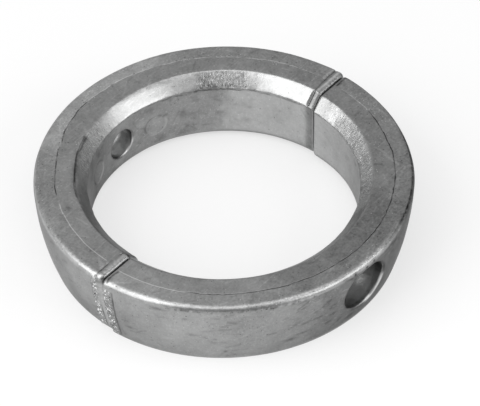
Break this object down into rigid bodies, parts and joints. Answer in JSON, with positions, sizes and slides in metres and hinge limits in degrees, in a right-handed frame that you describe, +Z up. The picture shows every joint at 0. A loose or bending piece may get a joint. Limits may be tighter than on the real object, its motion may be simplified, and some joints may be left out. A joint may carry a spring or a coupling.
{
  "type": "sacrificial anode",
  "caption": "Thick split ring of cast zinc that closes round a boat's drive-leg hub and corrodes in its place, with a bevelled bore and a recessed screw hole through each half.",
  "frame": {"origin": "middle of the pair of half rings, on the floor they rest on", "axes": "+Z up along the ring's axis towards the bevelled face, +X along the split between the halves, +Y towards the rear half and its screw hole; the split lies 1.6 mm to the front of the middle"},
  "size_m": [0.1309, 0.13, 0.0276],
  "materials": {
    "cast_zinc": "as-cast zinc, dull grey with bright worn edges"
  },
  "bodies": {
    "root": {"half_ring_front": "cast_zinc", "half_ring_rear": "cast_zinc"}
  },
  "joints": []
}
